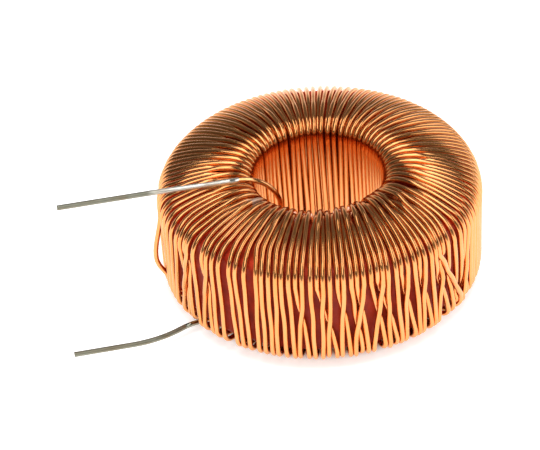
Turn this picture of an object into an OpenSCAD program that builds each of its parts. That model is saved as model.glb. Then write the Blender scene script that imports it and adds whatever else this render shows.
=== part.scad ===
// Toroidal inductor: a red-coated powder ring wound all the way round with one
// enamelled copper wire, whose two stripped and tinned ends stand out as leads.
// The ring lies flat. Its axis is Z, and the surface that it rests on is z = 0.

/* [Core] */
// Outer diameter of the bare powder ring
core_od = 32.1; // [28:0.1:50]
// Inner diameter of the bare powder ring
core_id = 16.5; // [13.5:0.25:20]
// Height of the bare powder ring
core_h = 10.2; // [6:0.1:20]
// Radius of the ring's pressed edges
core_edge_r = 0.5; // [0.3:0.05:0.8]

/* [Coat] */
// Thickness of the red epoxy coat
coat_t = 0.3; // [0.15:0.05:0.5]

/* [Wire] */
// Diameter of the wire over its enamel
wire_d = 0.55; // [0.35:0.01:0.6]
// Turns in each of the two layers inside the hole
layer_turns = 67; // [40:1:67]
// Least gap between neighbouring turns
turn_gap = 0.08; // [0.03:0.01:0.1]
// Gap between the coat and the wire beside it
coat_gap = 0.04; // [0.03:0.01:0.2]
// How far the stiff wire springs up off the coat along the outer edge
edge_lift = 0.2; // [0.05:0.05:0.6]
// How much further it springs up beside the hole
spring_lift = 0.1; // [0.1:0.05:1]
// How far the outside legs stand off the coat
leg_slack = 0.55; // [0.05:0.05:0.6]

/* [Leads] */
// Direction of the first turn, seen from above
first_turn_dir = -143.5; // [-180:0.5:180]
// Distance from the outside legs to the start lead's bend
start_run = 0.6; // [0.6:0.1:10]
// Radius of the start lead's bend
start_bend_r = 12; // [5:0.5:30]
// Angle that the start lead is bent through
start_bend = 26; // [5:1:60]
// Length of the start lead's straight end
start_tail = 6.3; // [4:0.1:40]
// How far inside the hole's wall the finish wire comes up
finish_stand_off = 1.9; // [1.2:0.1:2.5]
// How far round the hole the finish wire reaches its crest, from the first turn
finish_crest_dir = -17; // [-30:0.5:0]
// Direction in which the finish lead leaves the crest, from the first turn's
finish_dir = -27.5; // [-60:0.5:0]
// Length of the finish lead over the turns
finish_run = 8.2; // [7:0.1:12]
// Radius of the finish lead's bend beside the ring
finish_bend_r = 12; // [5:0.5:30]
// Angle that the finish lead is bent through
finish_bend = 1.5; // [1:0.5:60]
// Length of the finish lead's straight end
finish_tail = 9.8; // [4:0.1:40]

/* [Hidden] */
$fn = 48;

wire_r = wire_d / 2;
room = wire_d + turn_gap;

// One place for each turn, and one for the wire's last rise through the hole
places = 2 * layer_turns;
turns = places - 1;
step = 360 / places;

// The coat, measured from the ring's mid-plane
coat_outer_r = core_od / 2 + coat_t;
coat_inner_r = core_id / 2 - coat_t;
coat_half_h = core_h / 2 + coat_t;
coat_edge_r = core_edge_r + coat_t;

// Radii of the wire's middle line: the outside legs, and the two layers in the hole,
// the second of which lies in the grooves between the turns of the first
leg_r = coat_outer_r + coat_gap + leg_slack + wire_r;
first_r = coat_inner_r - coat_gap - wire_r;
second_r = first_r * cos(step) - sqrt(pow(room, 2) - pow(first_r * sin(step), 2));

// Heights of the wire's middle line over the mid-plane, the same below it. The second
// layer is carried over the first, and comes down between its turns further out
second_lift = 1.5 * wire_d;
edge_z = coat_half_h + coat_gap + edge_lift + wire_r;
first_z = edge_z + spring_lift;
second_z = first_z + second_lift;
crest_z = second_z + room;
mid_z = second_z + wire_r;

// Bends of the wire's middle line: close round the outer edge, looser where the wire
// comes out of the hole, and looser still in the second layer
first_looser = 0.8 * wire_d;
second_looser = wire_d;
edge_bend_r = coat_edge_r + coat_gap + wire_r;
first_bend_r = edge_bend_r + first_looser;
second_bend_r = first_bend_r + second_looser;

// How the outside legs bunch at the upper and the lower edge: shifts from an even
// spacing, in shares of the spare room. None is more than 0.9 below the one before
// it, so neighbours keep their gap
upper_bunch = [0, -0.9, -1.7, 0.8, 0.1, -0.8, -1.5, -0.3, 1.6, 0.7, -0.2,
    -1.1, 0.4, -0.5, 1.3, 0.4, -0.5, -1.2, 1.9, 1.0, 0.1, -0.7];
lower_bunch = [0.5, 0.3, -0.6, -1.3, -0.4, 1.2, 0.3, -0.6, 0.9, 1.4, 0.5,
    -0.4, -1.2, 0.2, -0.7, -1.4, 0.6, 1.2];
spare = leg_r * step * PI / 180 - room;
// Places that an outside leg leans on by, on its way down to the next turn
leg_lean = 0.45;

function shift(bunch, i) = spare * bunch[i % len(bunch)] / leg_r * 180 / PI;
function upper_dir(i) = i * step + shift(upper_bunch, i);
function lower_dir(i) = (i + leg_lean) * step + shift(lower_bunch, i);
function at(r, dir, z) = [r * cos(dir), r * sin(dir), z];

// The wire's route is a list of corners, each with the radius that it is bent to.
// An even place in the hole is in the first layer, an odd one in the second
function hole_corner(i, side) = i % 2 == 0
    ? [at(first_r, i * step, side * first_z), first_bend_r]
    : [at(second_r, i * step, side * second_z), second_bend_r];

function turn(i) = [
    hole_corner(i, -1),
    hole_corner(i, 1),
    [at(leg_r, upper_dir(i), edge_z), edge_bend_r],
    [at(leg_r, lower_dir(i), -edge_z), edge_bend_r],
];

// The wire leaves the first turn under the ring, and its last rise stands inside the
// hole, clear of the turns, before it crosses over them
start_back = 0.4;
start_enamel = 2 * wire_d;
start_edge = at(leg_r, -start_back * step, -edge_z);
start_end = start_edge + [start_enamel, 0, 0];
finish_back = 0.5;
finish_enamel = 1.5 * wire_d;
crest_out = 2 * wire_d;
finish_r = coat_inner_r - finish_stand_off - wire_d;
crest = at(coat_inner_r + crest_out, finish_crest_dir, crest_z);
finish_end = crest + finish_enamel * at(1, finish_dir, 0);
wire_route = concat(
    [[start_end, 0], [start_edge, 0]],
    [for (i = [0 : turns - 1], corner = turn(i)) corner],
    [
        [at(finish_r, -finish_back * step, -second_z), second_bend_r],
        [at(finish_r, -finish_back * step, crest_z), second_bend_r],
        [crest, second_bend_r],
        [finish_end, 0],
    ]);

// ---- a wire bent along a route ----

wire_sides = 6;
// The flats face the neighbouring turns, and the section has the round wire's area
section_r = wire_r * sqrt(2 * PI / (wire_sides * sin(360 / wire_sides)));
section = [for (k = [0 : wire_sides - 1])
    let (a = (k + 0.5) * 360 / wire_sides) section_r * [cos(a), sin(a)]];

function unit(v) = v / norm(v);
function bend_angle(a, b, c) = acos(max(-1, min(1, unit(b - a) * unit(c - b))));

// A bend is drawn as two equal mitres whose middle lines touch its arc
function mitres(a, b, c, r) =
    let (angle = bend_angle(a, b, c), back = r * (tan(angle / 2) - tan(angle / 4)))
    r == 0 ? [b] : [b - unit(b - a) * back, b + unit(c - b) * back];

function bent(route) = let (last = len(route) - 1) concat(
    [route[0][0]],
    [for (k = [1 : last - 1], p = mitres(route[k - 1][0], route[k][0], route[k + 1][0], route[k][1])) p],
    [route[last][0]]);

// The section at a point of the middle line, on the mitre between the directions in
// which the wire comes and goes
function ring_at(point, coming, going) =
    let (mitre = unit(coming + going),
        round = unit([-point.y, point.x, 0]),
        side = unit(round - (round * coming) * coming),
        up = cross(coming, side))
    [for (s = section)
        let (v = s.x * side + s.y * up)
        point + v - coming * (v * mitre) / (coming * mitre)];

module bent_wire(route) {
    line = bent(route);
    last = len(line) - 1;
    points = [for (k = [0 : last])
        let (coming = unit(line[max(k, 1)] - line[max(k, 1) - 1]),
            going = unit(line[min(k, last - 1) + 1] - line[min(k, last - 1)]))
        each ring_at(line[k], coming, going)];
    n = wire_sides;
    polyhedron(points, concat(
        [[for (j = [0 : n - 1]) j]],
        [for (k = [0 : last - 1], j = [0 : n - 1])
            let (a = k * n + j, b = k * n + (j + 1) % n)
            each [[a, a + n, b], [b, a + n, b + n]]],
        [[for (j = [n - 1 : -1 : 0]) last * n + j]]), convexity = 20);
}

// ---- the pieces ----

module ring_section(half_h, inner_r, outer_r, edge_r) {
    translate([inner_r + edge_r, -half_h])
        square([outer_r - inner_r - 2 * edge_r, 2 * half_h]);
    translate([inner_r, -half_h + edge_r])
        square([outer_r - inner_r, 2 * (half_h - edge_r)]);
    for (r = [inner_r + edge_r, outer_r - edge_r], z = [-1, 1])
        translate([r, z * (half_h - edge_r)]) circle(r = edge_r);
}

module core_ring()
    rotate_extrude() ring_section(core_h / 2, core_id / 2, core_od / 2, core_edge_r);

module on_mid_plane() translate([0, 0, mid_z]) children();

module core() color([0.2, 0.2, 0.21]) on_mid_plane() core_ring();

module core_coat() color([0.55, 0.1, 0.1]) on_mid_plane() difference() {
    rotate_extrude() ring_section(coat_half_h, coat_inner_r, coat_outer_r, coat_edge_r);
    core_ring();
}

module winding() color([0.85, 0.5, 0.25])
    on_mid_plane() rotate([0, 0, first_turn_dir]) bent_wire(wire_route);

// Straight wire along X from the origin
module straight(length) rotate([0, 90, 0]) cylinder(r = wire_r, h = length);

// A bend is a hair thicker than the straight ends, which reach a little way into it
lap = 0.05;
lap_r = 0.005;

// Wire along X from the origin, bent to one side on the way: towards -Y, or towards +Y
// where side is -1
module bent_lead(run, bend_r, angle, tail, side = 1) {
    straight(run + lap);
    translate([run, 0, 0]) mirror([0, side < 0 ? 1 : 0, 0]) translate([0, -bend_r, 0]) {
        rotate([0, 0, 90 - angle])
            rotate_extrude(angle = angle) translate([bend_r, 0]) circle(r = wire_r + lap_r);
        rotate([0, 0, -angle]) translate([-lap, bend_r, 0]) straight(tail + lap);
    }
}

module start_lead() color([0.62, 0.62, 0.58])
    on_mid_plane() rotate([0, 0, first_turn_dir]) translate(start_end)
        bent_lead(start_run, start_bend_r, start_bend, start_tail);

module finish_lead() color([0.72, 0.72, 0.68])
    on_mid_plane() rotate([0, 0, first_turn_dir]) translate(finish_end)
        rotate([0, 0, finish_dir])
            bent_lead(finish_run, finish_bend_r, finish_bend, finish_tail, side = -1);

core();
core_coat();
winding();
start_lead();
finish_lead();
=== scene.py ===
import math

import bpy
import numpy as np
from mathutils import Matrix, Vector


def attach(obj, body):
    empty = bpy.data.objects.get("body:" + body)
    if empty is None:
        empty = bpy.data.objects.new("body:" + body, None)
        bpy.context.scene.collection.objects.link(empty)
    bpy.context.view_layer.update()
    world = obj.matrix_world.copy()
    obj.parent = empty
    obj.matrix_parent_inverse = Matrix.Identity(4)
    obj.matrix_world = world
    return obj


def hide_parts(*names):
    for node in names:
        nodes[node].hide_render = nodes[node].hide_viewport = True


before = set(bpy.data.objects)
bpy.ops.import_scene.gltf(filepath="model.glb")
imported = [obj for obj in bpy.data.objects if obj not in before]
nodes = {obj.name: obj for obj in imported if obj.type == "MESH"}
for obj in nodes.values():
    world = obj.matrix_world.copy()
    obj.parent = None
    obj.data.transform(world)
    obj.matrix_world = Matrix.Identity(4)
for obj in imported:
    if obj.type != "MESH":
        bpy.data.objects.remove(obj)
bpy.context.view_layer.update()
mm = 0.001  # the wire is worked out in millimetres
print("frame loaded:", ", ".join(sorted(nodes)))


def nodePoints(name):
    mesh = nodes[name].data
    flat = np.zeros(len(mesh.vertices) * 3, np.float32)
    mesh.vertices.foreach_get("co", flat)
    return flat.reshape(-1, 3).astype(float) / mm


# Distance from the ring's axis
def reachOf(points):
    return np.hypot(points[:, 0], points[:, 1])


# The coated ring that the wire lies on
coatPoints = nodePoints("core_coat")
coatLow, coatHigh = coatPoints[:, 2].min(), coatPoints[:, 2].max()
coat = {
    "inner": reachOf(coatPoints).min(),
    "outer": reachOf(coatPoints).max(),
    "mid": (coatLow + coatHigh) / 2,
    "half": (coatHigh - coatLow) / 2,
    "edge": 0.8,  # radius of its rounded edges
}

# The room that the wire has to stay in
windingPoints = nodePoints("winding")
room = {
    "half": np.abs(windingPoints[:, :2]).max(),
    "low": windingPoints[:, 2].min(),
    "high": windingPoints[:, 2].max(),
}

ringDepth = 0.4  # most that the distances from the axis differ in one ring of a lead's vertices


# The first two rings of vertices of a lead, counted from the winding
def leadRings(name):
    points = nodePoints(name)
    reach = reachOf(points)
    near = reach < reach.min() + ringDepth
    beyond = reach[~near].min()
    return points[near], points[~near & (reach < beyond + ringDepth)]


# Middle of a ring of vertices, in heights over the coated ring's mid-plane
def middleOf(points):
    return points.mean(0) - [0, 0, coat["mid"]]


leadFrom, leadTo = leadRings("finish_lead")
wireD = leadFrom[:, 2].max() - leadFrom[:, 2].min()
wireR = wireD / 2

view = {
    "target": 6.74,  # height that it looks at, before the small turns
    "elevation": 38.141,
    "distance": 227.5,
    "lens": 139.56,
    "sensor": 36,
    "clip": (0.01, 20),  # in metres
    "yaw": -1.386,
    "pitch": -0.143,
    "roll": -2.759,
}


def addCamera():
    up = math.radians(view["elevation"])
    ahead = Vector((0, math.cos(up), -math.sin(up)))
    above = Vector((0, math.sin(up), math.cos(up)))
    place = Vector((0, 0, view["target"])) - ahead * view["distance"]
    level = Matrix((Vector((1, 0, 0)), above, -ahead)).transposed()
    turn = (Matrix.Rotation(math.radians(-view["yaw"]), 3, "Y")
            @ Matrix.Rotation(math.radians(view["pitch"]), 3, "X")
            @ Matrix.Rotation(math.radians(view["roll"]), 3, "Z"))
    data = bpy.data.cameras.new("camera")
    data.lens = view["lens"]
    data.sensor_width = view["sensor"]
    data.clip_start, data.clip_end = view["clip"]
    camera = bpy.data.objects.new("camera", data)
    camera.matrix_world = Matrix.Translation(place * mm) @ (level @ turn).to_4x4()
    bpy.context.scene.collection.objects.link(camera)
    bpy.context.scene.camera = camera


addCamera()
print("camera placed")

# Legs down the outside, in the order they are wound: direction at the upper edge, how far
# the leg leans on by the lower edge (both in degrees), and its rank where two legs cross
frontLegs = [
    (-141, 1, 0), (-136.5, 2.5, 0), (-134.5, -3, 1), (-131.5, 0, 0), (-128.5, 0.5, 0),
    (-124, 1.5, 0), (-121.5, 1.5, 0), (-118, 0.5, 0), (-113.5, -0.5, 0), (-111.5, 0, 0),
    (-109, 0, 0), (-106.5, -0.5, 0), (-104.5, 0.5, 0), (-102, 1, 0), (-99.5, 3, 0),
    (-97.5, -1.5, 1), (-94.5, 0.5, 0), (-92, 5.5, 0), (-90.5, -0.5, 1), (-88, -1, 1),
    (-85, 3.5, 0), (-83.5, -1, 1), (-80.5, 3, 0), (-78.5, 3, 0), (-76.5, -3.5, 1),
    (-73.5, 5, 0), (-71, 7, 0), (-69.5, -3.5, 1), (-67.5, 0, 1), (-64.5, 2, 0),
    (-62, 5, 0), (-60, -1, 1), (-57, 2.5, 0), (-54.5, 5, 0), (-52.5, -1, 1),
    (-49.5, 2, 0), (-47, 6.5, 0), (-45.2, 13, 2), (-43, -3, 1), (-40.5, 3.5, 0),
    (-37, 4, 0), (-33, 4, 0),
]
lastLegs = [
    (188.5, 4, 0), (193, -1, 0), (196.5, -1, 0), (200, -1.5, 0), (204, -2, 0),
    (208, -3, 0), (210.5, 3, 0), (213, 3, 0), (214.8, -5, 1),
]
# The back repeats the front's rhythm, in these shares
backLegs = {"unevenness": 0.3, "lean": 0.7, "mostLean": 5, "mostRank": 1}

# How the turns lie at a few directions
lay = {
    # How far a leg stands on from its place in the hole, in degrees
    "fan": [(-180, 0), (-150, 0), (-135, 2), (-113, 5), (-100, 1), (-90, -3), (-77, -7), (-60, -8),
            (-45, -7), (-20, -6), (0, -5), (30, -4), (60, -1), (90, -1), (180, 0), (216, 0.8)],
    # Height of the wires' upper corner over the mid-plane
    "corner": [(-180, 5.7), (-150, 6.05), (-128, 6.5), (-110, 6.65), (-98, 6.6), (-90, 6.45),
               (-66, 6.4), (-45, 6.1), (-20, 5.7), (180, 5.7), (216, 6.1)],
    # How much higher the wires are piled beside the hole
    "pile": [(-180, 0), (-150, 0.05), (-115, 0.35), (-60, 0.35), (-30, 0.1), (0, 0), (180, 0),
             (216, 0.05)],
    # Height over the mid-plane where the wires begin to bend out of the hole
    "rim": [(-180, 4.5), (-145, 4.2), (-30, 4.2), (0, 4.6), (40, 4.8), (140, 4.8), (180, 4.5),
            (216, 4.2)],
    # How square that bend is: 2 is an ellipse
    "square": [(-180, 2.7), (-145, 2.4), (-30, 2.4), (20, 3.2), (160, 3.2), (180, 2.7),
               (216, 2.4)],
    # How untidy the turns are
    "unrest": [(-180, 2), (-165, 1.2), (-112, 1.2), (-95, 2), (-82, 3.5), (-40, 3.5), (-20, 1.5),
               (0, 1), (100, 1), (130, 2.2), (180, 2), (216, 1.2)],
}
# Where the turns part at the hole's rim: direction, and how far in degrees
partings = [(-106, 2.0), (-94, 2.8), (-72, 2.8), (-50, 1.6), (-22, 0.9), (18, 1.2), (128, 1.3),
            (165, 1.2)]

# Lengths are in millimetres and angles in degrees. A reach is a distance from the axis
wire = {
    "turns": 133,
    "sides": 12,
    "seed": 12,
    "coatGap": 0.04,
    "secondIn": 0.53,  # how much nearer to the axis the second layer lies
    "holeDown": 4.2,  # where the wires begin to bend out of the hole below, under the mid-plane
    "holeLean": 3.5,  # degrees, at most, from the foot to the top of the hole
    "topLean": 0.2,  # share of that lean at the top
    "footLean": (0.15, 0.35),  # shares at the foot: the same for every turn, and by chance
    "slips": 0.1,  # share of the turns that have slipped at the foot
    "slip": -1.8,  # degrees
    "partingFade": 5,  # degrees
    "crest": (6.62, 6.9),  # heights of the two layers
    "crestReach": 10.5,
    "crestSway": 0.07,
    "mergeReach": 12.0,  # from here on both layers lie at one height
    "evenTo": 0.7,  # share of the way across that the turns lie evenly spaced
    "cornerBend": 2.6,
    "underCrest": (6.5, 6.82),
    "underCorner": 5.95,
    "underBend": 1.2,
    "underSquare": 2.5,
    "legReach": 17.2,
    "crossOver": 0.27,
    "crossSpread": 0.13,
    "sway": 0.06,
    "swings": (1, 2.5),
    "loose": {"turn": 124, "out": 1.05, "belly": 1.5},  # a belly over 1 lies below halfway
}
holeReach = coat["inner"] - wire["coatGap"] - wireR
wire["hole"] = (holeReach, holeReach - wire["secondIn"])
# Turns on either side that a running mean takes in
evening = {"hole": 4, "foot": 3, "over": 8}
# Points along each stretch of a turn, and along the wire's two ends
samples = {"hole": 7, "inner": 8, "arch": 8, "bend": 7, "leg": 12, "under": 4, "underBend": 5,
           "rise": 12, "crown": 10, "turnOut": 3, "short": 2, "lead": 16}


# Every turn's leg: the front ones, a back that repeats their rhythm, and the last few
def allLegs():
    tops = [leg[0] for leg in frontLegs]
    steps = [b - a for a, b in zip(tops, tops[1:])]
    count = wire["turns"] - len(frontLegs) - len(lastLegs)
    span = lastLegs[0][0] - tops[-1]
    even = sum(steps) / len(steps)
    rhythm = [even + (steps[k % len(steps)] - even) * backLegs["unevenness"]
              for k in range(count + 1)]
    scale = span / sum(rhythm)
    legs = list(frontLegs)
    top = tops[-1]
    for k in range(count):
        top += rhythm[k] * scale
        lean, rank = frontLegs[(k + 1) % len(frontLegs)][1:]
        lean = min(lean, backLegs["mostLean"]) * backLegs["lean"]
        legs.append((top, lean, min(rank, backLegs["mostRank"])))
    return np.array(legs + lastLegs, float)


def polar(reach, direction, up):
    a = np.radians(direction)
    return np.stack([reach * np.cos(a), reach * np.sin(a), up + 0 * a], -1)


# A value at each direction, from a table of a few
def read(table, directions):
    return np.interp(directions, *zip(*table))


# Running mean of directions that go once round
def smoothed(directions, width):
    wide = np.concatenate([directions[-width:] - 360, directions, directions[:width] + 360])
    kernel = np.ones(2 * width + 1) / (2 * width + 1)
    return np.convolve(wide, kernel, "valid")


# Where turns cross on one face: turn, share of the way, and +1 over or -1 under
def crossings(start, end, rank, ahead=6):
    found = []
    count = len(start)
    for i in range(count):
        for j in range(i + 1, min(i + ahead, count)):
            before = start[j] - start[i]
            after = end[j] - end[i]
            if before * after < 0:
                share = before / (before - after)
                over = 1 if rank[j] >= rank[i] else -1
                found += [(j, share, over), (i, share, -over)]
    return found


# Offset along the face's normal at each share of the way, for one turn
def bumps(found, turn, shares):
    most, spread = wire["crossOver"], wire["crossSpread"]
    lift = np.zeros(len(shares))
    for other, share, sign in found:
        if other == turn:
            lift += sign * most * np.exp(-((shares - share) / spread) ** 2)
    return np.clip(lift, -most, most)


# From upright at a, over the crest, down a long arch and round the outer edge above b,
# heading for aim in plan before it turns to b. Gives the points and their shares of the way
def overPath(a, b, aim, shape, counts):
    length = np.linalg.norm((b - a)[:2])
    radius = shape["bend"]
    level = (shape["crests"][0] + shape["crests"][1]) / 2
    rise = shape["crest"] - level
    crestAt = wire["crestReach"] - np.hypot(a[0], a[1])
    mergeAt = wire["mergeReach"] - np.hypot(a[0], a[1])
    slope = 0.3  # a first guess
    for _ in range(12):  # finds the arch's last slope, from the height of the corner
        tilt = math.atan(slope)
        endAt = length - radius + radius * math.sin(tilt)
        slope = 2 * (level - shape["corner"] + radius * (1 - math.cos(tilt))) / (endAt - crestAt)
    turn = np.linspace(0, np.pi / 2, counts[0] + 1)
    arch = np.linspace(0, 1, counts[1] + 1)[1:]
    bend = np.linspace(tilt, np.pi / 2, counts[2] + 1)[1:]
    archFar = crestAt + (endAt - crestAt) * arch
    merge = np.clip((archFar - crestAt) / (mergeAt - crestAt), 0, 1)
    drop = slope * (endAt - crestAt) / 2
    power = 2 / shape["square"]
    far = np.concatenate([
        crestAt * (1 - np.cos(turn).clip(0) ** power),
        archFar,
        length - radius + radius * np.sin(bend)])
    up = np.concatenate([
        a[2] + (shape["crest"] - a[2]) * np.sin(turn) ** power,
        level - drop * arch ** 2 + rise * (1 - merge ** 2 * (3 - 2 * merge)),
        level - drop - radius * (math.cos(tilt) - np.cos(bend))])
    share = (far / length)[:, None]
    late = np.clip((share - wire["evenTo"]) / (1 - wire["evenTo"]), 0, 1)
    line = np.zeros((len(far), 3))
    line[:, :2] = a[:2] + share * ((aim - a)[:2] + (b - aim)[:2] * late ** 2 * (3 - 2 * late))
    line[:, 2] = up
    return line, share[:, 0]


# Arc at b between the directions from a and to c
def bendPoints(a, b, c, radius, count):
    u = (b - a) / np.linalg.norm(b - a)
    v = (c - b) / np.linalg.norm(c - b)
    angle = math.acos(max(-1, min(1, float(u @ v))))
    start = b - u * radius * math.tan(angle / 2)
    inward = v - u * (u @ v)
    inward /= np.linalg.norm(inward)
    t = np.linspace(0, angle, count + 1)[:, None]
    return start + radius * np.sin(t) * u + radius * (1 - np.cos(t)) * inward


# Points on the straight way from a to b, without its ends
def between(a, b, count):
    t = np.linspace(0, 1, count + 2)[1:-1, None]
    return a + (b - a) * t


def outwardOf(points):
    outward = points * [1, 1, 0]
    return outward / np.linalg.norm(outward, axis=1)[:, None]


def underShape(layer):
    return {"crest": wire["underCrest"][layer], "crests": wire["underCrest"],
            "corner": wire["underCorner"], "bend": wire["underBend"],
            "square": wire["underSquare"]}


# The same path under the ring: from the hole at a to the leg's lower end at b
def underPath(a, b, layer):
    counts = (samples["inner"], samples["under"], samples["underBend"])
    line, share = overPath(a * [1, 1, -1], b, b, underShape(layer), counts)
    line[:, 2] *= -1
    return line, share


# The wire's middle line before it settles, in heights over the ring's mid-plane
def layRoute():
    random = np.random.default_rng(wire["seed"])
    top, lean, rank = allLegs().T
    count = len(top)
    layer = np.arange(count) % 2
    foot = top + lean

    # Places in the hole
    hole = smoothed(top - read(lay["fan"], top), evening["hole"])
    for middle, size in partings:
        aside = hole - middle
        hole = hole + size * np.sign(aside) * np.exp(-np.abs(aside) / wire["partingFade"])
    sway = random.uniform(-1, 1, count)
    untidy = read(lay["unrest"], top)
    holeTop = hole + wire["topLean"] * wire["holeLean"] * sway * untidy
    slip = np.where(random.random(count) < wire["slips"], wire["slip"], 0)
    still, stray = wire["footLean"]
    holeFoot = smoothed(hole, evening["foot"]) - wire["holeLean"] * (still + stray * sway) + slip
    nextFoot = np.append(holeFoot[1:], finish["under"])
    crosses = {
        "hole": crossings(holeFoot, holeTop, layer),
        "over": crossings(holeTop, top, rank),
        "leg": crossings(top, foot, rank),
        "under": crossings(foot, nextFoot, layer),
    }

    # Corners: the hole's foot and top, and the leg's top and foot
    cornerUp = read(lay["corner"], top)
    piled = read(lay["pile"], top)
    square = read(lay["square"], top)
    reach = np.array(wire["hole"])[layer]
    legReach = wire["legReach"] + 0 * top
    a = polar(reach, holeFoot, -wire["holeDown"])
    b = polar(reach, holeTop, read(lay["rim"], top))
    c = polar(legReach, top, cornerUp - wire["cornerBend"])
    d = polar(legReach, foot, wire["underBend"] - wire["underCorner"])
    aim = polar(legReach, smoothed(top, evening["over"]), 0)

    holeShare = np.linspace(0, 1, samples["hole"] + 2)[1:-1]
    legShare = np.linspace(0, 1, samples["leg"] + 2)[1:-1]
    overCounts = (samples["inner"], samples["arch"], samples["bend"])
    first = middleOf(leadRings("start_lead")[0])
    out = [first[None], enterPath(first, a[0])]
    for i in range(count):
        inner = between(a[i], b[i], samples["hole"])
        out.append(inner - outwardOf(inner) * bumps(crosses["hole"], i, holeShare)[:, None])
        crests = [up + piled[i] for up in wire["crest"]]
        crest = crests[layer[i]] + wire["crestSway"] * sway[i] * untidy[i]
        shape = {"crest": crest, "crests": crests, "corner": cornerUp[i],
                 "bend": wire["cornerBend"], "square": square[i]}
        over, t = overPath(b[i], c[i], aim[i], shape, overCounts)
        over[:, 2] += bumps(crosses["over"], i, t) * np.sqrt(np.sin(np.pi * t))
        out.append(over)
        leg = between(c[i], d[i], samples["leg"])
        outward = outwardOf(leg)
        side = np.stack([-outward[:, 1], outward[:, 0], 0 * legShare], -1)
        swings, phase = random.uniform(*wire["swings"]), random.uniform(0, 6)
        wave = np.sin(np.pi * legShare * swings + phase) * np.sin(np.pi * legShare)
        lift = bumps(crosses["leg"], i, legShare)
        leg += outward * lift[:, None] + side * wire["sway"] * wave[:, None]
        if i == wire["loose"]["turn"]:
            belly = np.sin(np.pi * legShare ** wire["loose"]["belly"])
            leg += outward * (wire["loose"]["out"] * belly)[:, None]
            looseFrom = sum(len(part) for part in out)
        out.append(leg)
        if i + 1 < count:
            under, t = underPath(a[i + 1], d[i], layer[i + 1])
            under[:, 2] -= bumps(crosses["under"], i, 1 - t) * np.sqrt(np.sin(np.pi * t))
            out.append(under[::-1])
    out.append(finishPath(d[-1]))
    line = np.concatenate(out)
    loose = np.zeros(len(line), bool)
    loose[looseFrom - samples["bend"]:looseFrom + samples["leg"] + samples["underBend"]] = True
    return line, loose


entry = {"direction": -144.3, "inward": 1.6, "up": 0.35}


# From the start lead, in under the ring, to the first rise in the hole
def enterPath(first, ahead):
    begin = polar(wire["legReach"] - entry["inward"], entry["direction"],
                  entry["up"] - wire["underCrest"][0])
    edge = polar(wire["legReach"], entry["direction"], 0)
    under = underPath(ahead, edge, 0)[0][:samples["inner"] + samples["under"]]
    return np.concatenate([between(first, begin, samples["short"]), under[::-1]])


finish = {
    "under": 214.4,  # direction that the last turn heads for under the ring
    "reach": 5.2,
    "direction": -142.5,
    "low": -5.0,
    "bend": 3.7,
    "past": 1.2,  # how far back from the tin the wire comes over its crest
    "lastBend": 1.6,
}


# The last stretch: up through the hole, over the crest, to where the tin begins
def finishPath(foot):
    end, far = middleOf(leadFrom), middleOf(leadTo)
    along = (end - far) / np.linalg.norm(end - far)
    low = polar(finish["reach"], finish["direction"], finish["low"])
    under = underPath(low, foot, 1)[0]
    crown = polar(finish["reach"], finish["direction"], end[2])
    over = end + along * finish["past"]
    bend = bendPoints(low, crown, over, finish["bend"], samples["crown"])
    rise = between(low, bend[0], samples["rise"])
    turnOut = bendPoints(crown, over, end, finish["lastBend"], samples["turnOut"])
    across = between(bend[-1], turnOut[0], samples["short"])
    return np.concatenate([under[::-1], rise, bend, across, turnOut, end[None]])


# The finish lead's middle line, which the turns below it give way to
def leadPath():
    return between(middleOf(leadFrom), middleOf(leadTo), samples["lead"])


settle = {
    "rounds": 160,
    "refresh": 20,  # rounds after which near stretches are listed again
    "report": 40,
    "stiff": 0.25,
    "limp": 15,  # last rounds, in which the wire isn't stiff
    "share": 0.6,  # of each overlap, taken away in a round
    "near": 1.5,  # in wire diameters, as the next two are
    "touch": 1.002,
    "clear": 1.004,
    "along": 4,  # stretches this near along the wire don't touch
    "block": 600,
    "coatGap": 0.02,
}


# Closest points of stretches i and j, as shares along each, and the vector between them
def stretchGaps(p, i, j):
    p1, p2 = p[i], p[j]
    d1, d2 = p[i + 1] - p1, p[j + 1] - p2
    r = p1 - p2
    a = (d1 * d1).sum(1)
    e = (d2 * d2).sum(1)
    f = (d2 * r).sum(1)
    c = (d1 * r).sum(1)
    b = (d1 * d2).sum(1)
    den = a * e - b * b
    parallel = den < 1e-6 * a * e
    s = np.clip((b * f - c * e) / np.where(parallel, 1, den), 0, 1)
    s = np.where(parallel, 0.5, s)
    t = (b * s + f) / e
    tc = np.clip(t, 0, 1)
    s = np.where(t != tc, np.clip((tc * b - c) / a, 0, 1), s)
    gap = (p1 + d1 * s[:, None]) - (p2 + d2 * tc[:, None])
    return s, tc, gap


# Pairs of stretches that may touch: middles first, then the true distance
def nearPairs(p, reach):
    mid = (p[:-1] + p[1:]) / 2
    long = np.linalg.norm(p[1:] - p[:-1], axis=1).max()
    limit = (reach + long) ** 2
    m = mid.astype(np.float32)
    size = (m * m).sum(1)
    pairs = []
    for k in range(0, len(m), settle["block"]):
        block = m[k:k + settle["block"]]
        dist = size[k:k + len(block), None] + size[None] - 2 * block @ m.T
        i, j = np.nonzero(dist < limit)
        i += k
        keep = j > i + settle["along"]
        pairs.append(np.stack([i[keep], j[keep]], 1))
    pairs = np.concatenate(pairs)
    i, j = pairs.T
    gap = stretchGaps(p, i, j)[2]
    near = (gap * gap).sum(1) < reach ** 2
    return i[near], j[near]


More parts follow.
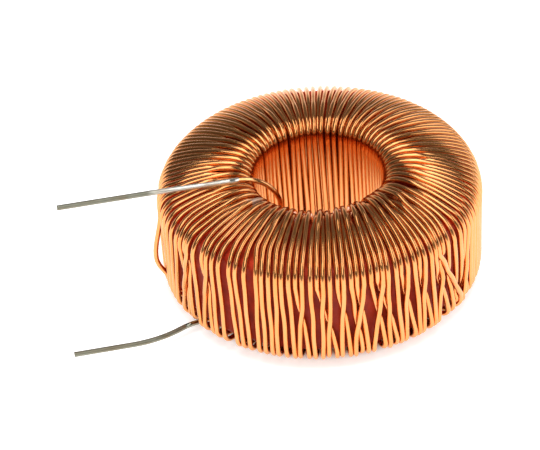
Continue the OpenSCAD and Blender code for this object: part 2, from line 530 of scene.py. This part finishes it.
# Points that lie too near the coat move out to the clearance
def offCoat(p, clear):
    reach = reachOf(p)
    midReach = (coat["inner"] + coat["outer"]) / 2
    halfWide = (coat["outer"] - coat["inner"]) / 2
    q = np.stack([reach - midReach, p[:, 2]], 1)
    core = np.array([[halfWide - coat["edge"], coat["half"] - coat["edge"]]])
    excess = np.abs(q) - core
    outside = np.maximum(excess, 0)
    length = np.hypot(outside[:, 0], outside[:, 1])
    inside = length == 0
    dist = np.where(inside, excess.max(1), length) - coat["edge"]
    straightOut = (excess == excess.max(1)[:, None]) * 1.0
    roundEdge = outside / np.maximum(length, 1e-9)[:, None]
    normal = np.where(inside[:, None], straightOut, roundEdge) * np.where(q < 0, -1, 1)
    q = q + np.maximum(clear - dist, 0)[:, None] * normal
    radial = p[:, :2] / reach[:, None]
    return np.concatenate([radial * (q[:, :1] + midReach), q[:, 1:]], 1)


# Relaxes the middle line: turns push each other apart, and off the coat. What contacts
# move is spread along the wire, as in stiff wire
def settleWire(line, fixed, loose):
    start = line.copy()
    p = line.copy()
    count = len(p)
    widest = room["half"] - wireR
    lowest = room["low"] + wireR - coat["mid"]
    highest = room["high"] - wireR - coat["mid"]
    for step in range(settle["rounds"]):
        if step % settle["refresh"] == 0:
            i, j = nearPairs(p, wireD * settle["near"])
        s, t, gap = stretchGaps(p, i, j)
        dist = np.sqrt((gap * gap).sum(1))
        hit = dist < wireD * settle["touch"]
        si, ti, gi = s[hit], t[hit], gap[hit] / np.maximum(dist[hit], 1e-6)[:, None]
        deep = (wireD * settle["clear"] - dist[hit])[:, None] * gi / 2
        ii, jj = i[hit], j[hit]
        index = np.concatenate([ii, ii + 1, jj, jj + 1])
        weight = np.concatenate([1 - si, si, 1 - ti, ti])
        move = np.concatenate([deep, deep, -deep, -deep]) * weight[:, None]
        total = np.bincount(index, weight, count)
        shift = np.stack([np.bincount(index, move[:, k], count) for k in range(3)], 1)
        shift = shift / np.maximum(total, 1)[:, None] * 2 * settle["share"]
        moved = p + shift - start
        soft = moved.copy()
        if step < settle["rounds"] - settle["limp"]:
            soft[1:-1] += settle["stiff"] * ((moved[:-2] + moved[2:]) / 2 - moved[1:-1])
        soft[fixed] = 0
        p = start + soft
        p = np.where(fixed[:, None], start, offCoat(p, wireR + settle["coatGap"]))
        reach = reachOf(p)
        over = (reach > widest) & ~fixed & ~loose
        p[over, :2] *= (widest / reach[over])[:, None]
        p[:, 2] = np.clip(p[:, 2], lowest, highest)
        if step % settle["report"] == 0 or step == settle["rounds"] - 1:
            deepest = max(0, (wireD - dist).max())
            print(f"  settling {step}: {hit.sum()} contacts, deepest {deepest:.3f} mm")
    return p


# Round tube along a line. Its map has the length along the wire in millimetres and the
# share of the way round
def tubeMesh(name, line, radius, sides):
    along = np.gradient(line, axis=0)
    along /= np.linalg.norm(along, axis=1)[:, None]
    first = np.cross(along[0], [0.3, 0.2, 1.0])  # any direction that isn't along the wire
    sideWay = [first / np.linalg.norm(first)]
    for k in range(1, len(line)):
        w = sideWay[-1] - along[k] * (sideWay[-1] @ along[k])
        sideWay.append(w / np.linalg.norm(w))
    sideWay = np.array(sideWay)
    upWay = np.cross(along, sideWay)
    a = np.arange(sides) * 2 * np.pi / sides
    ring = sideWay[:, None] * np.cos(a)[None, :, None] + upWay[:, None] * np.sin(a)[None, :, None]
    points = (line[:, None] + ring * radius).reshape(-1, 3)
    k = np.arange(len(line) - 1)[:, None] * sides
    j = np.arange(sides)[None]
    n = (j + 1) % sides
    quads = np.stack([k + j, k + n, k + n + sides, k + j + sides], -1).reshape(-1, 4)
    faces = [tuple(q) for q in quads.tolist()]
    base = (len(line) - 1) * sides
    faces += [tuple(range(sides - 1, -1, -1)), tuple(range(base, base + sides))]
    mesh = bpy.data.meshes.new(name)
    mesh.from_pydata((points * mm).tolist(), [], faces)
    mesh.polygons.foreach_set("use_smooth", [True] * len(faces))
    run = np.concatenate([[0], np.cumsum(np.linalg.norm(np.diff(line, axis=0), axis=1))])
    here = np.repeat(run[:-1], sides)
    there = np.repeat(run[1:], sides)
    left = np.tile(np.arange(sides) / sides, len(line) - 1)
    right = left + 1 / sides
    spots = np.stack([here, left, here, right, there, right, there, left], -1).reshape(-1, 2)
    ends = np.stack([np.repeat([run[0], run[-1]], sides), np.zeros(2 * sides)], -1)
    layer = mesh.uv_layers.new(name="alongWire")
    layer.data.foreach_set("uv", np.concatenate([spots, ends]).ravel().astype(np.float32))
    return mesh, run[-1]


# Both ends of the wire and the finish lead are held where they are
route, loose = layRoute()
print("route laid:", len(route), "points")
lead = leadPath()
held = np.zeros(len(route) + len(lead), bool)
held[:2] = True
held[len(route) - 3:] = True
loose = np.concatenate([loose, np.zeros(len(lead), bool)])
settled = settleWire(np.concatenate([route, lead]), held, loose)
route = settled[:len(route)] + [0, 0, coat["mid"]]


def newMaterial(name):
    material = bpy.data.materials.new(name)
    material.use_nodes = True
    tree = material.node_tree
    return material, tree, tree.nodes["Principled BSDF"]


# Sets a socket to a number or a colour, or links another node's output to it
def feed(tree, socket, value):
    if isinstance(value, bpy.types.NodeSocket):
        tree.links.new(value, socket)
    elif isinstance(value, tuple) and len(value) < len(socket.default_value):
        socket.default_value = (*value, 1)
    else:
        socket.default_value = value


def maths(tree, operation, *values):
    node = tree.nodes.new("ShaderNodeMath")
    node.operation = operation
    for socket, value in zip(node.inputs, values):
        feed(tree, socket, value)
    return node.outputs[0]


# Carries a value from one range to another, and stops at its ends
def ramp(tree, value, fromRange, toRange):
    node = tree.nodes.new("ShaderNodeMapRange")
    for socket, given in zip(node.inputs, (value, *fromRange, *toRange)):
        feed(tree, socket, given)
    return node.outputs["Result"]


def mixColours(tree, share, a, b):
    node = tree.nodes.new("ShaderNodeMix")
    node.data_type = "RGBA"
    for k, value in zip((0, 6, 7), (share, a, b)):
        feed(tree, node.inputs[k], value)
    return node.outputs[2]


def mixValues(tree, share, a, b):
    node = tree.nodes.new("ShaderNodeMix")
    for k, value in zip((0, 2, 3), (share, a, b)):
        feed(tree, node.inputs[k], value)
    return node.outputs[0]


# Distance of a surface point from a fixed point, in metres
def distanceTo(tree, position, point):
    node = tree.nodes.new("ShaderNodeVectorMath")
    node.operation = "DISTANCE"
    node.inputs[1].default_value = point
    tree.links.new(position, node.inputs[0])
    return node.outputs["Value"]


def stretch(tree, vector, scale):
    node = tree.nodes.new("ShaderNodeMapping")
    node.inputs["Scale"].default_value = scale
    tree.links.new(vector, node.inputs["Vector"])
    return node.outputs["Vector"]


def newGroup(name, inputs, outputs):
    group = bpy.data.node_groups.new(name, "ShaderNodeTree")
    for label, kind, value in inputs:
        kind = "NodeSocket" + kind
        socket = group.interface.new_socket(label, in_out="INPUT", socket_type=kind)
        if value is not None:
            socket.default_value = value
    for label, kind in outputs:
        kind = "NodeSocket" + kind
        group.interface.new_socket(label, in_out="OUTPUT", socket_type=kind)
    return group, group.nodes.new("NodeGroupInput"), group.nodes.new("NodeGroupOutput")


# Slow unevenness over a surface, as a value from low to high
def makeMottle():
    group, given, result = newGroup("mottle", [
        ("Vector", "Vector", None), ("Scale", "Float", 300.0), ("Detail", "Float", 2.0),
        ("Low", "Float", 0.0), ("High", "Float", 1.0)], [("Value", "Float")])
    noise = group.nodes.new("ShaderNodeTexNoise")
    for name in ("Vector", "Scale", "Detail"):
        group.links.new(given.outputs[name], noise.inputs[name])
    spread = ramp(group, noise.outputs["Fac"], (0.3, 0.7),
                  (given.outputs["Low"], given.outputs["High"]))
    group.links.new(spread, result.inputs["Value"])
    return group


# Fine relief, as a normal
def makeRelief():
    group, given, result = newGroup("relief", [
        ("Vector", "Vector", None), ("Scale", "Float", 2000.0), ("Detail", "Float", 3.0),
        ("Strength", "Float", 0.2), ("Depth", "Float", 0.00002)], [("Normal", "Vector")])
    noise = group.nodes.new("ShaderNodeTexNoise")
    for name in ("Vector", "Scale", "Detail"):
        group.links.new(given.outputs[name], noise.inputs[name])
    bump = group.nodes.new("ShaderNodeBump")
    link = group.links.new
    link(given.outputs["Strength"], bump.inputs["Strength"])
    link(given.outputs["Depth"], bump.inputs["Distance"])
    link(noise.outputs["Fac"], bump.inputs["Height"])
    link(bump.outputs["Normal"], result.inputs["Normal"])
    return group


# A soft step from 0 to 1 as a length passes a place, with a ragged edge
def makeRagged():
    group, given, result = newGroup("raggedEdge", [
        ("Vector", "Vector", None), ("Length", "Float", 0.0), ("Place", "Float", 0.0),
        ("Width", "Float", 0.5), ("Ragged", "Float", 0.5), ("Scale", "Float", 1500.0)],
        [("Mask", "Float")])
    noise = group.nodes.new("ShaderNodeTexNoise")
    for name in ("Vector", "Scale"):
        group.links.new(given.outputs[name], noise.inputs[name])
    uneven = maths(group, "SUBTRACT", noise.outputs["Fac"], 0.5)
    shaken = maths(group, "MULTIPLY", uneven, given.outputs["Ragged"])
    past = maths(group, "SUBTRACT", given.outputs["Length"], given.outputs["Place"])
    ahead = maths(group, "ADD", past, shaken)
    share = maths(group, "ADD", maths(group, "DIVIDE", ahead, given.outputs["Width"]), 0.5)
    soft = group.nodes.new("ShaderNodeMapRange")
    soft.interpolation_type = "SMOOTHSTEP"
    group.links.new(share, soft.inputs["Value"])
    group.links.new(soft.outputs["Result"], result.inputs["Mask"])
    return group


mottle = makeMottle()
relief = makeRelief()
raggedEdge = makeRagged()


def placeGroup(tree, group, vector, **values):
    node = tree.nodes.new("ShaderNodeGroup")
    node.node_tree = group
    tree.links.new(vector, node.inputs["Vector"])
    for name, value in values.items():
        feed(tree, node.inputs[name.capitalize()], value)
    return node.outputs[0]


# Lengths are in millimetres along the wire, and in metres around the smear
copper = {
    "light": (0.92, 0.4, 0.155),
    "dark": (0.84, 0.345, 0.1),
    "drawn": (0.12, 1.5, 1),  # scale along and round the wire, which makes streaks
    "tone": {"scale": 2.0, "detail": 3},
    "gloss": {"scale": 5.0, "low": 0.14, "high": 0.24},
    "relief": {"scale": 1800.0, "strength": 0.06},
    "varnish": 0.15,
    "varnishRough": 0.08,
    "tinnedLast": 1.0,  # length at the finish end that the tin reaches over
    "tinnedFirst": 2.2,  # the same at the start
    "tinEdge": {"width": 0.5, "ragged": 1.2, "scale": 2500.0},
    "smear": {"reach": 9.1, "direction": -138.0, "up": 13.7, "size": 0.85},
    "smearColour": (0.8, 0.55, 0.42),
    "smearRough": 0.5,
    "smearEdge": {"width": 0.0005, "ragged": 0.0012, "scale": 1400.0},
}
tin = {
    # The first tin colour has a painted highlight, for the lead's stretch over the ring; the
    # second is the same tin darker, without the highlight, for the rest
    "highlitTin": (0.88, 0.85, 0.77),
    "unlitTin": (0.31, 0.305, 0.235),
    "stain": (0.26, 0.21, 0.13),
    "drawn": (0.25, 1, 1),
    "gloss": {"scale": 1800.0, "low": 0.3, "high": 0.42},
    "dullRough": 0.5,
    "relief": {"scale": 2200.0, "strength": 0.3},
    "stains": {"scale": 1300.0, "detail": 4, "low": -0.6, "high": 0.9},
    "highlightRun": 8.2,  # the solder has a painted highlight this far from the finish lead's inner end, over the ring
    "highlightEdge": {"width": 0.0015, "ragged": 0.003, "scale": 900.0},
}


def copperEnamel(length):
    material, tree, shader = newMaterial("copper_enamel")
    where = tree.nodes.new("ShaderNodeTexCoord")
    position = where.outputs["Object"]
    alongWire = stretch(tree, where.outputs["UV"], copper["drawn"])
    tone = placeGroup(tree, mottle, alongWire, **copper["tone"])
    colour = mixColours(tree, tone, copper["dark"], copper["light"])
    rough = placeGroup(tree, mottle, alongWire, **copper["gloss"])

    # Tin creeps over the enamel at both ends: at the finish end in the tin colour with a painted
    # highlight, at the start in its darker copy without one
    split = tree.nodes.new("ShaderNodeSeparateXYZ")
    tree.links.new(where.outputs["UV"], split.inputs[0])
    run = split.outputs["X"]
    tinned = placeGroup(tree, raggedEdge, position, length=run,
                        place=length - copper["tinnedLast"], **copper["tinEdge"])
    colour = mixColours(tree, tinned, colour, tin["highlitTin"])
    rough = mixValues(tree, tinned, rough, tin["gloss"]["low"])
    enamelled = placeGroup(tree, raggedEdge, position, length=run,
                           place=copper["tinnedFirst"], **copper["tinEdge"])
    colour = mixColours(tree, enamelled, tin["unlitTin"], colour)

    smear = copper["smear"]
    spot = polar(smear["reach"], np.array(smear["direction"]), smear["up"]) * mm
    edge = placeGroup(tree, raggedEdge, position, length=distanceTo(tree, position, tuple(spot)),
                      place=smear["size"] * mm, **copper["smearEdge"])
    colour = mixColours(tree, edge, copper["smearColour"], colour)
    rough = mixValues(tree, edge, copper["smearRough"], rough)
    feed(tree, shader.inputs["Base Color"], colour)
    feed(tree, shader.inputs["Roughness"], rough)
    feed(tree, shader.inputs["Normal"], placeGroup(tree, relief, position, **copper["relief"]))
    shader.inputs["Metallic"].default_value = 1
    shader.inputs["Coat Weight"].default_value = copper["varnish"]
    shader.inputs["Coat Roughness"].default_value = copper["varnishRough"]
    return material


epoxy = {
    "light": (0.6, 0.045, 0.014),
    "dark": (0.4, 0.026, 0.008),
    "specular": 0.25,
    "tone": {"scale": 700.0, "detail": 4},
    "gloss": {"scale": 1500.0, "low": 0.35, "high": 0.55},
    "relief": {"scale": 2600.0, "strength": 0.35},
}


def redEpoxy():
    material, tree, shader = newMaterial("red_epoxy")
    position = tree.nodes.new("ShaderNodeTexCoord").outputs["Object"]
    tone = placeGroup(tree, mottle, position, **epoxy["tone"])
    colour = mixColours(tree, tone, epoxy["dark"], epoxy["light"])
    feed(tree, shader.inputs["Base Color"], colour)
    feed(tree, shader.inputs["Roughness"], placeGroup(tree, mottle, position, **epoxy["gloss"]))
    feed(tree, shader.inputs["Normal"], placeGroup(tree, relief, position, **epoxy["relief"]))
    shader.inputs["Specular IOR Level"].default_value = epoxy["specular"]
    return material


def tinnedWire():
    material, tree, shader = newMaterial("tinned")
    position = tree.nodes.new("ShaderNodeTexCoord").outputs["Object"]
    drawn = stretch(tree, position, tin["drawn"])
    # Beyond this distance the lead loses its painted highlight and takes the darker copy of the
    # tin
    away = distanceTo(tree, position, tuple(leadFrom.mean(0) * mm))
    pastHighlight = placeGroup(tree, raggedEdge, drawn, length=away, place=tin["highlightRun"] * mm,
                        **tin["highlightEdge"])
    colour = mixColours(tree, pastHighlight, tin["highlitTin"], tin["unlitTin"])
    stains = placeGroup(tree, mottle, drawn, **tin["stains"])
    colour = mixColours(tree, stains, colour, tin["stain"])
    rough = placeGroup(tree, mottle, drawn, **tin["gloss"])
    rough = mixValues(tree, pastHighlight, rough, tin["dullRough"])
    feed(tree, shader.inputs["Base Color"], colour)
    feed(tree, shader.inputs["Roughness"], rough)
    feed(tree, shader.inputs["Normal"], placeGroup(tree, relief, drawn, **tin["relief"]))
    shader.inputs["Metallic"].default_value = 1
    return material


iron = {
    "light": (0.055, 0.055, 0.06),
    "dark": (0.02, 0.02, 0.022),
    "rough": 0.85,
    "tone": {"scale": 4000.0, "detail": 4},
    "relief": {"scale": 5000.0, "strength": 0.6},
}


def powder():
    material, tree, shader = newMaterial("powder")
    position = tree.nodes.new("ShaderNodeTexCoord").outputs["Object"]
    tone = placeGroup(tree, mottle, position, **iron["tone"])
    feed(tree, shader.inputs["Base Color"], mixColours(tree, tone, iron["dark"], iron["light"]))
    feed(tree, shader.inputs["Normal"], placeGroup(tree, relief, position, **iron["relief"]))
    shader.inputs["Roughness"].default_value = iron["rough"]
    return material


def addWinding():
    mesh, length = tubeMesh("wound_wire", route, wireR, wire["sides"])
    piece = bpy.data.objects.new("wound_wire", mesh)
    bpy.context.scene.collection.objects.link(piece)
    mesh.materials.append(copperEnamel(length))
    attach(piece, "root")
    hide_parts("winding")
    print(f"wire wound: {length:.0f} mm, {len(mesh.polygons)} faces")


def paint(name, material):
    nodes[name].data.materials.clear()
    nodes[name].data.materials.append(material)


addWinding()
paint("core", powder())
paint("core_coat", redEpoxy())
tinMaterial = tinnedWire()
paint("start_lead", tinMaterial)
paint("finish_lead", tinMaterial)
print("finishes made")

ground = {
    "half": 3.0,
    "colour": (0.8, 0.8, 0.8),
    "rough": 0.9,
    "lift": 0.58,
    "ring": 0.0114,  # the lift is left out around this distance from the axis, as painted shade under the ring
    "shadeFade": (0.003, 0.0043),
}


# The floor shows white to the camera and to glossy surfaces, and keeps the shadow; under the ring
# the white is left out, which paints shade there
def addFloor():
    mesh = bpy.data.meshes.new("floor")
    h = ground["half"]
    mesh.from_pydata([(-h, -h, 0), (h, -h, 0), (h, h, 0), (-h, h, 0)], [], [(0, 1, 2, 3)])
    floor = bpy.data.objects.new("floor", mesh)
    bpy.context.scene.collection.objects.link(floor)
    material, tree, shader = newMaterial("floor")
    shader.inputs["Base Color"].default_value = (*ground["colour"], 1)
    shader.inputs["Roughness"].default_value = ground["rough"]
    shader.inputs["Specular IOR Level"].default_value = 0
    shader.inputs["Emission Color"].default_value = (1, 1, 1, 1)
    rays = tree.nodes.new("ShaderNodeLightPath")
    seen = maths(tree, "MAXIMUM", rays.outputs["Is Camera Ray"], rays.outputs["Is Glossy Ray"])
    position = tree.nodes.new("ShaderNodeTexCoord").outputs["Object"]
    reach = distanceTo(tree, position, (0, 0, 0))
    aside = maths(tree, "ABSOLUTE", maths(tree, "SUBTRACT", reach, ground["ring"]))
    # Painted shade: the emission fades out in a band under the ring
    clear = ramp(tree, aside, ground["shadeFade"], (0, ground["lift"]))
    feed(tree, shader.inputs["Emission Strength"], maths(tree, "MULTIPLY", seen, clear))
    mesh.materials.append(material)


# Lamps stand at an angle from overhead towards the front and the right, and face the ring
lamps = {
    "softbox": {"front": 38, "right": -8, "away": 0.5, "size": (0.34, 0.5), "glow": 2.0},
    "overhead": {"front": -4, "right": 1, "away": 0.2, "size": (0.065, 0.14), "glow": 2.5},
    "right": {"front": 0, "right": 52, "away": 0.5, "size": (0.3, 0.4), "glow": 1.4},
    "floorFill": {"front": 0, "right": 0, "away": 0.9, "size": (0.6, 0.6), "glow": 5,
                  "mirrored": False},  # glossy surfaces don't show it
}


def addLamps():
    for name, lamp in lamps.items():
        data = bpy.data.lights.new(name, "AREA")
        data.shape = "RECTANGLE"
        data.size, data.size_y = lamp["size"]
        data.energy = lamp["glow"] * math.pi * data.size * data.size_y
        light = bpy.data.objects.new(name, data)
        turn = (Matrix.Rotation(math.radians(lamp["front"]), 4, "X")
                @ Matrix.Rotation(math.radians(lamp["right"]), 4, "Y"))
        light.matrix_world = turn @ Matrix.Translation((0, 0, lamp["away"]))
        light.visible_glossy = lamp.get("mirrored", True)
        light.visible_camera = False
        bpy.context.scene.collection.objects.link(light)


sky = {
    "tint": (1, 0.98, 0.96),
    "low": 1.0,
    "high": 0.13,
    "dims": (0.05, 0.36),  # heights between which it dims
    "front": 0.33,  # how much of it is left at the front left
    "away": (0.45, 0.89, 0),  # direction away from there
    "turns": (-0.6, 0.0),  # shares of that direction between which it comes back
}


# A pale studio: bright near the floor, dimmer overhead and at the front left
def addWorld():
    world = bpy.data.worlds.new("world")
    bpy.context.scene.world = world
    world.use_nodes = True
    tree = world.node_tree
    back = tree.nodes["Background"]
    back.inputs["Color"].default_value = (*sky["tint"], 1)
    around = tree.nodes.new("ShaderNodeTexCoord").outputs["Generated"]
    split = tree.nodes.new("ShaderNodeSeparateXYZ")
    tree.links.new(around, split.inputs[0])
    toward = tree.nodes.new("ShaderNodeVectorMath")
    toward.operation = "DOT_PRODUCT"
    toward.inputs[1].default_value = sky["away"]
    tree.links.new(around, toward.inputs[0])
    overhead = ramp(tree, split.outputs["Z"], sky["dims"], (sky["low"], sky["high"]))
    aside = ramp(tree, toward.outputs["Value"], sky["turns"], (sky["front"], 1))
    feed(tree, back.inputs["Strength"], maths(tree, "MULTIPLY", overhead, aside))


addFloor()
addLamps()
addWorld()
bpy.context.scene.view_settings.view_transform = "Standard"
print("floor and lights placed")
